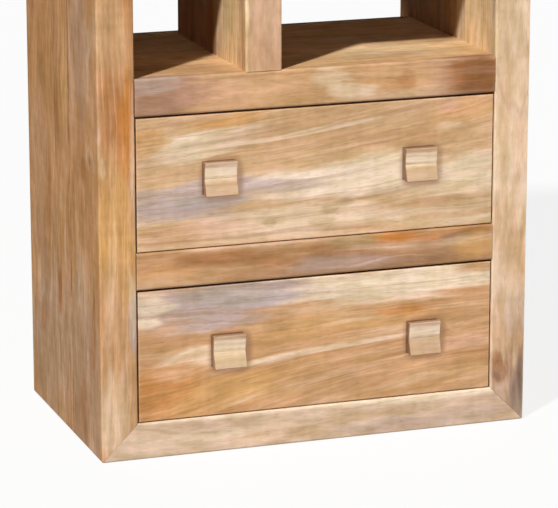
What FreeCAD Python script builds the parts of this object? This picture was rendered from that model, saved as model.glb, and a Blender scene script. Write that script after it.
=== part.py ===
import FreeCAD, Part
import os
from FreeCAD import Vector

# A free-standing bookcase in solid wood: open shelving above two inset drawers.
# The outer boards are mitred into one frame. Shelves, dividers and the drawer rail stand between
# them on dowels. Each drawer slides on a pair of wooden runners let into grooves in its sides.
# Frame: origin on the floor under the middle of the case, +Z up, the front faces -Y.

# ---- driving dimensions, mm: case ----
case_width = 600.0
case_depth = 350.0
case_height = 1800.0
board = 50.0                 # thickness of every board of the case
outer_ease = 3.0             # radius along the outer edges
inner_ease = 3.5             # radius along the edges round the openings
front_stave = 138.0          # width of the front stave of each glued-up side
shelf_depth = 305.0          # the shelves stop short of the rear edge of the sides
divider_depth = 295.0
rail_depth = 70.0            # the rail between the drawers runs only along the front
drawer_opening = 180.0       # height of one drawer opening
row_count = 4                # open rows above the drawers
narrow_cell = 150.0          # width of the narrow cell of each open row

back_panel_thickness = 12.0
cleat = 18.0                 # square batten that holds the foot of the back panel
panel_play = 0.5             # room round a thin panel in its place

# ---- drawers ----
drawer_setback = 1.0         # the drawer fronts lie this far behind the case front
drawer_side_gap = 1.5
drawer_top_gap = 2.5
drawer_bottom_gap = 1.0
drawer_front_thickness = 24.0
drawer_ease = 1.5
drawer_travel = 225.0

box_side_clearance = 6.0     # between drawer box and case side
box_side = 16.0              # thickness of drawer sides and back
box_rear_y = 110.0
box_lift = 9.0               # underside of the drawer sides above the foot of the opening
box_height = 156.0
side_tenon = 8.0             # length of drawer side housed in the drawer front
drawer_floor = 6.0           # thickness of the drawer bottom panel
drawer_floor_lift = 8.0      # underside of the bottom panel above the underside of the sides
drawer_floor_groove = 6.0

runner_height = 20.0
runner_reach = 14.0          # how far a runner stands out of the case side
runner_lift = 80.0           # underside of the runner above the foot of the opening
runner_groove = 9.0          # depth of the groove in the drawer side
runner_play_above = 0.3      # the drawer hangs on the runner, so this play is the smaller one
runner_play_below = 0.7
runner_front_gap = 0.3       # the runner's end stops the closing drawer
runner_rear_y = 128.0

stop_width = 60.0
stop_drop = 24.0             # how far a stop block hangs below the board that carries it
stop_front_gap = 0.5         # between stop block and drawer front

# ---- knobs ----
knob_size = 45.0             # front face of the square knob
knob_base = 34.0             # foot of the knob, against the drawer front
knob_top_reach = 15.0        # from the upper edge the face dips into a hollow
knob_hollow_reach = 12.6
knob_hollow_rise = 12.0      # height of the middle of the hollow above the knob's centre
knob_hollow_foot_reach = 12.0
knob_hollow_foot_rise = 4.0
knob_crease_reach = 11.0     # the crease runs across the middle
knob_lip_reach = 18.5        # below it the face leans out to the lower lip
knob_plate = 7.0             # thickness of the square rim before the knob tapers in
knob_ease = 1.6
knob_ease_margin = 0.5       # only edges this far in front of the rim's rear face are rounded
# hand-set knobs: (x, z) of each centre
knob_places = {
    "upper_drawer": {"left": (-137.5, 374.0), "right": (141.5, 372.5)},
    "lower_drawer": {"left": (-126.5, 140.0), "right": (149.0, 133.0)},
}

# ---- dowels ----
dowel_d = 8.0
dowel_length = 40.0
mitre_dowel_length = 36.0
dowel_end_gap = 1.0          # the holes are this much deeper than the dowels at each end
mitre_dowel_ys = (-138.0, -78.0, 22.0, 102.0)
shelf_dowel_ys = (-138.0, -78.0, 22.0, 92.0)
divider_dowel_ys = (-138.0, 92.0)
rail_dowel_ys = (-152.0, -128.0)
box_dowel_d = 6.0
box_dowel_length = 36.0
box_dowel_rises = (36.0, 131.0)      # above the underside of the drawer side

# ---- screws ----
screw_d = 4.0
screw_tip = 5.0              # length of the pointed end
screw_tip_d = 0.8
screw_head_d = 8.0
screw_head_height = 2.4
screw_slot_width = 1.2
screw_slot_depth = 1.0
screw_clearance_d = 4.4
runner_screw_length = 34.0
runner_screw_ys = (-120.0, -10.0, 100.0)
stop_screw_length = 44.0
panel_top_screw_length = 38.0
panel_foot_screw_length = 26.0       # shorter, because the cleat is thin
panel_screw_xs = (-200.0, 0.0, 200.0)
cleat_screw_length = 34.0
cleat_screw_xs = (-150.0, -50.0, 50.0, 150.0)
floor_screw_length = 26.0
floor_screw_xs = (-150.0, 0.0, 150.0)
knob_screw_length = 32.0

# ---- places worked out from them ----
half_width = case_width / 2
half_depth = case_depth / 2
front_y = -half_depth
inner_x = half_width - board
stave_joint_y = front_y + front_stave
shelf_rear_y = front_y + shelf_depth
divider_rear_y = front_y + divider_depth
panel_rear_y = shelf_rear_y + back_panel_thickness
panel_x = inner_x - panel_play
rail_z = board + drawer_opening
cover_shelf_z = rail_z + board + drawer_opening
first_row_z = cover_shelf_z + board
top_board_z = case_height - board
row_height = (top_board_z - first_row_z - (row_count - 1) * board) / row_count
row_pitch = row_height + board
drawer_feet = {"lower_drawer": board, "upper_drawer": rail_z + board}

drawer_front_y = front_y + drawer_setback
drawer_inner_y = drawer_front_y + drawer_front_thickness
box_outer_x = inner_x - box_side_clearance
box_inner_x = box_outer_x - box_side
box_back_y = box_rear_y - box_side
box_back_middle_y = (box_back_y + box_rear_y) / 2
stop_front_y = drawer_inner_y + stop_front_gap
stop_rear_y = box_back_y - drawer_travel

X_AXIS = Vector(1, 0, 0)
Y_AXIS = Vector(0, 1, 0)
Z_AXIS = Vector(0, 0, 1)
SIDES = ((-1, "left"), (1, "right"))
TINY = 1e-6
CUT_PAST = 1.0               # cutters run this far past the face that they open


# ---- shape helpers ----
def block(x0, x1, y0, y1, z0, z1):
    return Part.makeBox(x1 - x0, y1 - y0, z1 - z0, Vector(x0, y0, z0))


def rod(start, axis, length, diameter):
    return Part.makeCylinder(diameter / 2, length, start, axis)


def prism(corners, way):
    """The solid that a closed flat outline sweeps along the vector way."""
    return Part.Face(Part.makePolygon(corners + [corners[0]])).extrude(way)


def group(solids):
    return Part.makeCompound(solids)


def ease(shape, radius, wanted):
    """Round the straight edges that wanted(midpoint, direction) picks."""
    edges = []
    for edge in shape.Edges:
        first = edge.firstVertex().Point
        last = edge.lastVertex().Point
        direction = last - first
        if direction.Length > TINY and wanted((first + last) * 0.5, direction.normalize()):
            edges.append(edge)
    return shape.makeFillet(radius, edges)


def along(direction, axis):
    return abs(abs(direction.dot(axis)) - 1) < TINY


def near(value, target):
    return abs(value - target) < TINY


def outer_envelope():
    """The whole case as one block with every edge rounded: the outer boards are cut to it."""
    body = block(-half_width, half_width, front_y, half_depth, 0, case_height)
    return body.makeFillet(outer_ease, body.Edges)


def mitre_prism(side, upper, level_side):
    """A prism on one side of a mitre plane; side is -1 at the left of the case, +1 at the right.

    With level_side it lies where the top or bottom board is, otherwise where the side board is.
    """
    outward = 1 if upper else -1
    z_corner = case_height if upper else 0.0
    start = Vector(side * (half_width + board), front_y - CUT_PAST, z_corner + outward * board)
    end = Vector(side * (inner_x - board), front_y - CUT_PAST, z_corner - outward * 2 * board)
    third = Vector(end.x, start.y, start.z) if level_side else Vector(start.x, start.y, end.z)
    return prism([start, end, third], Vector(0, case_depth + 2 * CUT_PAST, 0))


# ---- dowels ----
def dowel(middle, axis, length):
    return rod(middle - axis * (length / 2), axis, length, dowel_d)


def dowel_hole(middle, axis, length):
    return dowel(middle, axis, length + 2 * dowel_end_gap)


def mitre_dowel_places():
    """Middle and axis of each dowel across the four mitres."""
    places = []
    for side, _ in SIDES:
        for upper in (False, True):
            x = side * (half_width - board / 2)
            z = case_height - board / 2 if upper else board / 2
            axis = Vector(-side, 0, 1 if upper else -1).normalize()
            for y in mitre_dowel_ys:
                places.append((Vector(x, y, z), axis))
    return places


def end_dowel_places(z_middle, ys):
    """Dowels from both sides into the ends of a board that lies between them."""
    return [(Vector(side * inner_x, y, z_middle), X_AXIS) for side, _ in SIDES for y in ys]


def shelf_levels():
    """Underside of the cover shelf and of each open shelf."""
    return [cover_shelf_z + n * row_pitch for n in range(row_count)]


def row_foot(row):
    return first_row_z + row * row_pitch


def divider_start(row):
    """Left face of the divider of an open row: the narrow cell changes side from row to row."""
    left = -inner_x + narrow_cell
    return left if row % 2 == 0 else -left - board


def divider_dowel_places():
    places = []
    for row in range(row_count):
        x = divider_start(row) + board / 2
        for z in (row_foot(row), row_foot(row) + row_height):
            for y in divider_dowel_ys:
                places.append((Vector(x, y, z), Z_AXIS))
    return places


# ---- screws ----
def pointed_rod(seat, axis, length):
    """The room that a screw's thread fills, from the seat of its head to its tip."""
    straight = length - screw_tip
    point = Part.makeCone(screw_d / 2, screw_tip_d / 2, screw_tip, seat + axis * straight, axis)
    return rod(seat, axis, straight, screw_d).fuse(point)


def sunk_head(seat, axis):
    return Part.makeCone(screw_head_d / 2, screw_d / 2, screw_head_height, seat, axis)


def screw(seat, axis, length, sunk=False):
    """A slotted wood screw; a sunk head lies below its seat, another one stands on it."""
    if sunk:
        head = sunk_head(seat, axis)
        head_top = seat
    else:
        head_top = seat - axis * screw_head_height
        head = rod(head_top, axis, screw_head_height, screw_head_d)
    slot = block(
        -screw_slot_width / 2,
        screw_slot_width / 2,
        -screw_head_d,
        screw_head_d,
        -screw_slot_depth,
        screw_slot_depth,
    )
    slot.Placement = FreeCAD.Placement(head_top, FreeCAD.Rotation(Z_AXIS, axis))
    return head.fuse(pointed_rod(seat, axis, length)).cut(slot).removeSplitter()


def screw_hole(seat, axis, length, clearance_length, sunk=False):
    """A clearance hole, then the tight hole that the thread holds in."""
    clear = rod(seat, axis, clearance_length, screw_clearance_d)
    hole = clear.fuse(pointed_rod(seat, axis, length))
    return hole.fuse(sunk_head(seat, axis)) if sunk else hole


# ---- outer frame ----
def side_board(side):
    """A whole side board, before it is parted into its staves."""
    x0, x1 = sorted((side * half_width, side * inner_x))
    body = block(x0, x1, front_y, half_depth, 0, case_height)
    body = ease(
        body,
        inner_ease,
        lambda mid, way: along(way, Z_AXIS) and near(mid.x, side * inner_x),
    )
    for upper in (False, True):
        body = body.cut(mitre_prism(side, upper, level_side=True))
    return body.common(outer_envelope())


def side_staves(side):
    """The front and the rear stave of a side board."""
    whole = side_board(side)
    front_part = block(
        -half_width - CUT_PAST,
        half_width + CUT_PAST,
        front_y - CUT_PAST,
        stave_joint_y,
        -CUT_PAST,
        case_height + CUT_PAST,
    )
    return whole.common(front_part), whole.cut(front_part)


def level_board(upper):
    """The top or the bottom board, mitred at both ends."""
    z0 = top_board_z if upper else 0.0
    inner_z = top_board_z if upper else board
    body = block(-half_width, half_width, front_y, half_depth, z0, z0 + board)
    body = ease(body, inner_ease, lambda mid, way: along(way, X_AXIS) and near(mid.z, inner_z))
    for side, _ in SIDES:
        body = body.cut(mitre_prism(side, upper, level_side=False))
    return body.common(outer_envelope())


# ---- boards between the sides ----
def shelf(z0):
    body = block(-inner_x, inner_x, front_y, shelf_rear_y, z0, z0 + board)
    return ease(body, inner_ease, lambda mid, way: along(way, X_AXIS))


def drawer_rail():
    body = block(-inner_x, inner_x, front_y, front_y + rail_depth, rail_z, rail_z + board)
    return ease(body, inner_ease, lambda mid, way: along(way, X_AXIS) and near(mid.y, front_y))


def divider(row):
    x0 = divider_start(row)
    foot = row_foot(row)
    body = block(x0, x0 + board, front_y, divider_rear_y, foot, foot + row_height)
    return ease(body, inner_ease, lambda mid, way: along(way, Z_AXIS))


# ---- back of the drawer bay ----
def back_panel():
    return block(-panel_x, panel_x, shelf_rear_y, panel_rear_y, board, first_row_z)


def panel_screws():
    """Seat and length of each back panel screw: a row into the cover shelf, one into the cleat."""
    rows = (
        (cover_shelf_z + board / 2, panel_top_screw_length),
        (board + cleat / 2, panel_foot_screw_length),
    )
    return [(Vector(x, panel_rear_y, z), length) for z, length in rows for x in panel_screw_xs]


def back_cleat():
    return block(-panel_x, panel_x, shelf_rear_y - cleat, shelf_rear_y, board, board + cleat)


def cleat_screw_places():
    return [Vector(x, shelf_rear_y - cleat / 2, board + cleat) for x in cleat_screw_xs]


# ---- runners and stops ----
def runner(side, foot):
    x0, x1 = sorted((side * inner_x, side * (inner_x - runner_reach)))
    z0 = foot + runner_lift
    return block(x0, x1, drawer_inner_y + runner_front_gap, runner_rear_y, z0, z0 + runner_height)


def runner_screw_places():
    """Seat and direction of each runner screw, sunk in the face of the runner."""
    places = []
    for foot in drawer_feet.values():
        for side, _ in SIDES:
            for y in runner_screw_ys:
                seat = Vector(side * (inner_x - runner_reach), y, foot + runner_lift + runner_height / 2)
                places.append((seat, X_AXIS * side))
    return places


def stop_block(foot):
    """The block that catches the back of a drawer at the end of its travel."""
    ceiling = foot + drawer_opening
    return block(
        -stop_width / 2,
        stop_width / 2,
        stop_front_y,
        stop_rear_y,
        ceiling - stop_drop,
        ceiling,
    )


def stop_screw_places():
    middle_y = (stop_front_y + stop_rear_y) / 2
    places = []
    for foot in drawer_feet.values():
        for x in (-stop_width / 4, stop_width / 4):
            places.append(Vector(x, middle_y, foot + drawer_opening - stop_drop))
    return places


# ---- drawers ----
def drawer_front_board(foot):
    body = block(
        -inner_x + drawer_side_gap,
        inner_x - drawer_side_gap,
        drawer_front_y,
        drawer_inner_y,
        foot + drawer_bottom_gap,
        foot + drawer_opening - drawer_top_gap,
    )
    return ease(body, drawer_ease, lambda mid, way: near(mid.y, drawer_front_y))


def drawer_side_board(side, foot):
    x0, x1 = sorted((side * box_outer_x, side * box_inner_x))
    z0 = foot + box_lift
    body = block(x0, x1, drawer_inner_y - side_tenon, box_rear_y, z0, z0 + box_height)
    return ease(
        body,
        drawer_ease,
        lambda mid, way: along(way, Y_AXIS) and near(mid.z, z0 + box_height),
    )


def runner_groove_cutter(side, foot):
    x0, x1 = sorted((side * (box_outer_x + CUT_PAST), side * (box_outer_x - runner_groove)))
    z0 = foot + runner_lift - runner_play_below
    z1 = foot + runner_lift + runner_height + runner_play_above
    return block(x0, x1, drawer_inner_y, box_rear_y + CUT_PAST, z0, z1)


def drawer_back_board(foot):
    z0 = foot + box_lift + drawer_floor_lift + drawer_floor
    return block(-box_inner_x, box_inner_x, box_back_y, box_rear_y, z0, foot + box_lift + box_height)


def drawer_floor_panel(foot):
    reach = box_inner_x + drawer_floor_groove - panel_play
    front = drawer_inner_y - drawer_floor_groove + panel_play
    z0 = foot + box_lift + drawer_floor_lift
    return block(-reach, reach, front, box_rear_y, z0, z0 + drawer_floor)


def floor_groove_cutter(foot):
    reach = box_inner_x + drawer_floor_groove
    front = drawer_inner_y - drawer_floor_groove
    z0 = foot + box_lift + drawer_floor_lift
    return block(-reach, reach, front, box_rear_y + CUT_PAST, z0, z0 + drawer_floor)


def box_dowel_places(foot):
    """Start and direction of the dowels through the drawer sides into the drawer back."""
    places = []
    for side, _ in SIDES:
        for rise in box_dowel_rises:
            start = Vector(side * box_outer_x, box_back_middle_y, foot + box_lift + rise)
            places.append((start, X_AXIS * -side))
    return places


def floor_screw_places(foot):
    z0 = foot + box_lift + drawer_floor_lift
    return [Vector(x, box_back_middle_y, z0) for x in floor_screw_xs]


def knob_side_view(x, z):
    """The knob as its profile makes it, as wide as its face: a hollow, a crease, a lower lip."""
    half = knob_size / 2
    foot = knob_base / 2

    def at(reach, up):
        return Vector(x - half, drawer_front_y - reach, z + up)

    top = at(knob_top_reach, half)
    hollow_foot = at(knob_hollow_foot_reach, knob_hollow_foot_rise)
    straight = [
        hollow_foot,
        at(knob_crease_reach, 0.0),
        at(knob_lip_reach, -half),
        at(knob_lip_reach - knob_plate, -half),
        at(0.0, -foot),
        at(0.0, foot),
        at(knob_top_reach - knob_plate, half),
        top,
    ]
    hollow = Part.Arc(top, at(knob_hollow_reach, knob_hollow_rise), hollow_foot).toShape()
    outline = Part.Wire(Part.makePolygon(straight).Edges + [hollow])
    return Part.Face(outline).extrude(Vector(knob_size, 0, 0))


def knob(x, z):
    """A square knob: tapered foot, square rim and a shaped face."""
    half = knob_size / 2
    foot = knob_base / 2
    top_rim = knob_top_reach - knob_plate
    plan = [
        (-foot, 0.0),
        (-half, top_rim),
        (-half, knob_lip_reach),
        (half, knob_lip_reach),
        (half, top_rim),
        (foot, 0.0),
    ]
    seen_from_above = prism(
        [Vector(x + across, drawer_front_y - reach, z - half) for across, reach in plan],
        Vector(0, 0, knob_size),
    )
    eased_before_y = drawer_front_y - top_rim - knob_ease_margin

    def inside_face(mid, way):
        return along(way, X_AXIS) and abs(mid.z - z) < half - knob_ease

    return ease(
        knob_side_view(x, z).common(seen_from_above),
        knob_ease,
        lambda mid, way: mid.y < eased_before_y and not inside_face(mid, way),
    )


def knob_screw_places(drawer):
    return [Vector(x, drawer_inner_y, z) for x, z in knob_places[drawer].values()]


def drawer_nodes(name, foot):
    """All pieces of one drawer, with the holes, housings and grooves that join them."""
    knob_holes = [
        screw_hole(seat, -Y_AXIS, knob_screw_length, drawer_front_thickness)
        for seat in knob_screw_places(name)
    ]
    floor_holes = [
        screw_hole(seat, Z_AXIS, floor_screw_length, drawer_floor)
        for seat in floor_screw_places(foot)
    ]
    pegs = [rod(start, axis, box_dowel_length, box_dowel_d) for start, axis in box_dowel_places(foot)]

    nodes = {}
    front = drawer_front_board(foot).cut([floor_groove_cutter(foot)] + knob_holes)
    for side, hand in SIDES:
        cheek = drawer_side_board(side, foot)
        front = front.cut(cheek)
        cutters = [runner_groove_cutter(side, foot), floor_groove_cutter(foot)] + pegs
        nodes[name + "_" + hand + "_side"] = cheek.cut(cutters)
    nodes[name + "_front"] = front
    nodes[name + "_back"] = drawer_back_board(foot).cut(floor_holes + pegs)
    nodes[name + "_bottom"] = drawer_floor_panel(foot).cut(floor_holes)
    nodes[name + "_dowels"] = group(pegs)
    for hand, (x, z) in knob_places[name].items():
        nodes[name + "_" + hand + "_knob"] = knob(x, z).cut(knob_holes)
    nodes[name + "_knob_screws"] = group(
        [screw(seat, -Y_AXIS, knob_screw_length) for seat in knob_screw_places(name)]
    )
    nodes[name + "_bottom_screws"] = group(
        [screw(seat, Z_AXIS, floor_screw_length) for seat in floor_screw_places(foot)]
    )
    return nodes


# ---- the case ----
def case_boards():
    """The fixed wooden pieces, before any dowel or screw hole is cut."""
    nodes = {}
    for side, hand in SIDES:
        front_part, rear_part = side_staves(side)
        nodes[hand + "_side_front_stave"] = front_part
        nodes[hand + "_side_rear_stave"] = rear_part
    nodes["bottom_board"] = level_board(upper=False)
    nodes["top_board"] = level_board(upper=True)
    nodes["cover_shelf"] = shelf(cover_shelf_z)
    for number, z in enumerate(shelf_levels()[1:], start=1):
        nodes["open_shelf_%d" % number] = shelf(z)
    for row in range(row_count):
        nodes["divider_%d" % (row + 1)] = divider(row)
    nodes["drawer_rail"] = drawer_rail()
    nodes["back_panel"] = back_panel()
    nodes["back_cleat"] = back_cleat()
    for name, foot in drawer_feet.items():
        for side, hand in SIDES:
            nodes[name + "_" + hand + "_runner"] = runner(side, foot)
        nodes[name + "_stop_block"] = stop_block(foot)
    return nodes


def case_nodes():
    """The fixed pieces with their holes, and the dowels and screws in them."""
    mitres = mitre_dowel_places()
    shelf_ends = [
        place for z in shelf_levels() for place in end_dowel_places(z + board / 2, shelf_dowel_ys)
    ]
    rail_ends = end_dowel_places(rail_z + board / 2, rail_dowel_ys)
    posts = divider_dowel_places()

    holes = [dowel_hole(mid, axis, mitre_dowel_length) for mid, axis in mitres]
    holes += [dowel_hole(mid, axis, dowel_length) for mid, axis in shelf_ends + rail_ends + posts]
    dowels = {
        "mitre_dowels": [dowel(mid, axis, mitre_dowel_length) for mid, axis in mitres],
        "shelf_dowels": [dowel(mid, axis, dowel_length) for mid, axis in shelf_ends],
        "rail_dowels": [dowel(mid, axis, dowel_length) for mid, axis in rail_ends],
        "divider_dowels": [dowel(mid, axis, dowel_length) for mid, axis in posts],
    }

    # seat, direction, length and clearance length of every sunk screw
    screws = {
        "runner_screws": [
            (seat, axis, runner_screw_length, runner_reach) for seat, axis in runner_screw_places()
        ],
        "stop_block_screws": [
            (seat, Z_AXIS, stop_screw_length, stop_drop) for seat in stop_screw_places()
        ],
        "back_panel_screws": [
            (seat, -Y_AXIS, length, back_panel_thickness) for seat, length in panel_screws()
        ],
        "cleat_screws": [
            (seat, -Z_AXIS, cleat_screw_length, cleat) for seat in cleat_screw_places()
        ],
    }
    for places in screws.values():
        holes += [screw_hole(seat, axis, length, clear, sunk=True) for seat, axis, length, clear in places]

    nodes = {name: shape.cut(holes) for name, shape in case_boards().items()}
    for name, solids in dowels.items():
        nodes[name] = group(solids)
    for name, places in screws.items():
        nodes[name] = group([screw(seat, axis, length, sunk=True) for seat, axis, length, _ in places])
    return nodes


def main():
    os.makedirs("parts", exist_ok=True)
    nodes = case_nodes()
    for name, foot in drawer_feet.items():
        nodes.update(drawer_nodes(name, foot))
    for name, shape in nodes.items():
        solids = shape.Solids
        if len(solids) == 1:
            shape = solids[0]
        if not shape.isValid():
            raise ValueError(name + " is not a valid solid")
        shape.exportStep("parts/" + name + ".step")
        print("%-32s %3d solid(s) %9.1f cm3" % (name, len(solids), shape.Volume / 1000))
    print(len(nodes), "nodes")


main()
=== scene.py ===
import math
import bpy
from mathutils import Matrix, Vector


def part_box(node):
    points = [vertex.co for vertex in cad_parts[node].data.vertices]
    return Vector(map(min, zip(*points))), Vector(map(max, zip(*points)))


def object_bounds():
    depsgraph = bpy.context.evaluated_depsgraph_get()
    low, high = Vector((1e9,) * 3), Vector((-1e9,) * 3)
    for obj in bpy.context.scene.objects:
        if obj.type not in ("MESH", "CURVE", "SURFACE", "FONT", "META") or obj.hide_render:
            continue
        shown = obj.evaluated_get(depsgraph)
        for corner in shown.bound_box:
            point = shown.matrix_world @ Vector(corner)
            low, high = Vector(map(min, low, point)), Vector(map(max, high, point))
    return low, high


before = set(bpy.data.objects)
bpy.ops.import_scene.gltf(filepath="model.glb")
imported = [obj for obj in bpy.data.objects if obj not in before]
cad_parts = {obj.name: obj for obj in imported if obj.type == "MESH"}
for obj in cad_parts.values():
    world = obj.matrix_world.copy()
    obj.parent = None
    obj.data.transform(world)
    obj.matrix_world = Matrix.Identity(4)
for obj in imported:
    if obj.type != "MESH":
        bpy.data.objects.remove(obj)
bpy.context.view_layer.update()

# A solid mango-wood bookcase with a dry oiled finish, which has no gloss. Every board keeps its CAD
# shape and gets timber of its own: growth rings round a pith beside the board, colour bands, pores,
# knots and worn arrises.
# All timber is worked out in the row frame, in metres, so it runs on round every corner of a board.

MM = 0.001

# ---- picture and camera ----
PICTURE_WIDTH = 558          # pixels
SENSOR = 36.0                # mm
FOCAL_PIXELS = 3145.0        # the focal length, in pixels of the picture
CAMERA_PLACE = Vector((-1.374, -3.962, 1.291))
CAMERA_YAW = math.radians(19.21)      # from +Y towards +X
CAMERA_PITCH = math.radians(14.37)    # below the horizon
CAMERA_RANGE = 200.0         # metres

# ---- light ----
# Each lamp's share is what a facing surface gets, where 1 shows its own colour. Azimuths are degrees to
# the left of the front's normal. Elevations and widths are in degrees too.
KEY_LIGHT = 0.95
KEY_AZIMUTH = 49.6
KEY_ELEVATION = 52.0
KEY_WIDTH = 3.0
# low lamps round the object, by name: share and azimuth
LOW_LAMPS = {
    "front_lamp": (0.58, 0.0),
    "left_lamp": (0.22, 90.0),
    "right_lamp": (0.65, -90.0),
    "back_lamp": (0.65, 180.0),
}
LOW_ELEVATION = 1.5
LOW_WIDTH = 2.0
SKY_LIGHT = 0.03             # the strength of the even light from all round

# ---- floor ----
FLOOR_RADIUS = 60.0          # metres
FLOOR_CORNERS = 64
FLOOR_MOTTLE_RATES = (3.0, 3.0, 3.0)     # cells to the metre
FLOOR_MOTTLE_DETAIL = 3.0
FLOOR_SEEN = (0.90, 0.94)    # its colour in the picture, from one end of the mottle to the other
FLOOR_BOUNCE = (0.14, 0.16)  # its colour for the light that it gives back to the object
FLOOR_WHITE = 0.86           # how much of its brightness doesn't depend on the lamps

# ---- the case, from the frame ----
case_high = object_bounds()[1]
FRONT_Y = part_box("cover_shelf")[0].y
INNER_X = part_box("cover_shelf")[1].x
HALF_WIDTH = case_high.x
CASE_TOP = case_high.z
STAVE_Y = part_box("left_side_front_stave")[1].y


def tone(red, green, blue):
    """A colour written as 0 to 255, as the linear colour that Blender takes."""
    linear = []
    for value in (red, green, blue):
        share = value / 255
        linear.append(share / 12.92 if share <= 0.04045 else ((share + 0.055) / 1.055) ** 2.4)
    return (*linear, 1.0)


def grey(value):
    """A linear grey, where 1 is white."""
    return (value, value, value, 1.0)


# ---- timber colours ----
CREAM = tone(241, 217, 189)
BEIGE = tone(222, 190, 156)
SAND = tone(208, 180, 142)
TAN = tone(212, 168, 126)
BROWN_TAN = tone(196, 152, 110)
SIDE_BROWN = tone(198, 148, 102)
SIDE_GREY = tone(188, 152, 122)
HONEY = tone(216, 162, 106)
DEEP_HONEY = tone(180, 124, 76)
GOLD = tone(220, 170, 106)
ORANGE = tone(204, 130, 62)
RUST = tone(164, 108, 64)
ROSE = tone(222, 172, 142)
LILAC = tone(187, 165, 155)
DUSK = tone(170, 130, 108)
SLATE = tone(176, 164, 160)
PLUM = tone(132, 108, 100)
DIVIDER_TAN = tone(200, 156, 120)
SHELF_PALE = tone(220, 182, 142)
# pale sapwood; on the inner faces of the first divider and the right side it is painted light
SAPWOOD_AND_PAINTED_LIGHT = tone(250, 214, 160)
OLIVE = tone(166, 138, 92)
UMBER = tone(104, 72, 54)
RING = tone(150, 106, 68)
INSIDE_TAN = tone(200, 160, 118)
# painted shade for the lower lip of a knob, which the lamps light more than the hollow above it
KNOB_LOWER_PAINTED_SHADE = tone(196, 163, 130)
# the colour of the painted shade on a knob's sides and round its foot
KNOB_PAINTED_SHADE = tone(146, 110, 84)
# hue drift inside one board, as factors on the colour
TOWARDS_GOLD = (1.00, 0.995, 0.90, 1.0)
TOWARDS_ASH = (0.99, 0.985, 1.04, 1.0)


# ---- node helpers ----
NOISE_MIDDLE = 0.5           # a noise field runs from 0 to 1


class Graph:
    """Adds nodes to one node tree. All methods but node and feed give back output sockets."""

    def __init__(self, tree):
        self.tree = tree

    def node(self, kind, **settings):
        made = self.tree.nodes.new("ShaderNode" + kind)
        for name, value in settings.items():
            setattr(made, name, value)
        return made

    def feed(self, socket, value):
        if isinstance(value, bpy.types.NodeSocket):
            self.tree.links.new(value, socket)
        else:
            socket.default_value = value

    def fed(self, made, values):
        for socket, value in zip(made.inputs, values):
            self.feed(socket, value)
        return made.outputs[0]

    def calc(self, operation, *values):
        return self.fed(self.node("Math", operation=operation), values)

    def vector(self, operation, *values):
        made = self.node("VectorMath", operation=operation)
        self.fed(made, values)
        return made.outputs["Value" if operation in ("LENGTH", "DOT_PRODUCT") else "Vector"]

    def total(self, values):
        result = values[0]
        for value in values[1:]:
            result = self.calc("ADD", result, value)
        return result

    def centred(self, field, factor):
        """A noise field moved to run both ways from 0, times a factor."""
        return self.calc("MULTIPLY", self.calc("SUBTRACT", field, NOISE_MIDDLE), factor)

    def scaled(self, vector, factor):
        made = self.node("VectorMath", operation="SCALE")
        self.feed(made.inputs["Vector"], vector)
        self.feed(made.inputs["Scale"], factor)
        return made.outputs["Vector"]

    def parts(self, vector):
        made = self.node("SeparateXYZ")
        self.feed(made.inputs[0], vector)
        return tuple(made.outputs)

    def joined(self, x, y, z):
        return self.fed(self.node("CombineXYZ"), (x, y, z))

    def noise(self, vector, detail=2.0, roughness=0.5):
        """Noise with one cell to each unit of the vector."""
        made = self.node("TexNoise")
        self.feed(made.inputs["Vector"], vector)
        made.inputs["Scale"].default_value = 1.0
        made.inputs["Detail"].default_value = detail
        made.inputs["Roughness"].default_value = roughness
        return made.outputs["Fac"]

    def ease(self, value, low, high, start=0.0, end=1.0):
        """A smooth step from start to end as value goes from low to high."""
        made = self.node("MapRange", interpolation_type="SMOOTHSTEP")
        return self.fed(made, (value, low, high, start, end))

    def mix(self, factor, first, second, mode="MIX"):
        """Two colours mixed. The node's number sockets share their names, so these go by type."""
        made = self.node("Mix", data_type="RGBA", blend_type=mode)
        colours = [socket for socket in made.inputs if socket.type == "RGBA"]
        self.feed(made.inputs[0], factor)
        self.feed(colours[0], first)
        self.feed(colours[1], second)
        return [socket for socket in made.outputs if socket.type == "RGBA"][0]

    def tint(self, colour, towards, field, share):
        """The colour mixed towards another one by a field times a share."""
        return self.mix(self.calc("MULTIPLY", field, share), colour, towards)


def emptied(owner):
    """Clears the node tree of a material or world, and gives back the Graph that fills it."""
    owner.use_nodes = True
    owner.node_tree.nodes.clear()
    return Graph(owner.node_tree)


def finish_material(g, colour, roughness, height, bump, constants):
    """Puts a principled shader on the material's output, with the constants on its own sockets."""
    relief = g.node("Bump")
    strength, distance = bump
    relief.inputs["Strength"].default_value = strength
    relief.inputs["Distance"].default_value = distance
    g.feed(relief.inputs["Height"], height)
    shader = g.node("BsdfPrincipled")
    for name, value in constants.items():
        shader.inputs[name].default_value = value
    g.feed(shader.inputs["Base Color"], colour)
    g.feed(shader.inputs["Roughness"], roughness)
    g.feed(shader.inputs["Normal"], relief.outputs["Normal"])
    g.feed(g.node("OutputMaterial").inputs["Surface"], shader.outputs[0])


# ---- the timber ----
TIMBER_INPUTS = {
    "Place": "Vector", "Pith": "Vector", "Seed": "Float", "Bend": "Float", "Base": "Color",
    "Pale": "Float", "Warm": "Float", "Grey": "Float", "Dark": "Float",
    "Figure": "Float", "Blotch": "Float",
}
TIMBER_OUTPUTS = {"Colour": "Color", "Roughness": "Float", "Height": "Float"}
SEED_STEP = (3.17, 1.31, 2.23)    # how far a seed of 1 moves the noise along, across and into the board

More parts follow.
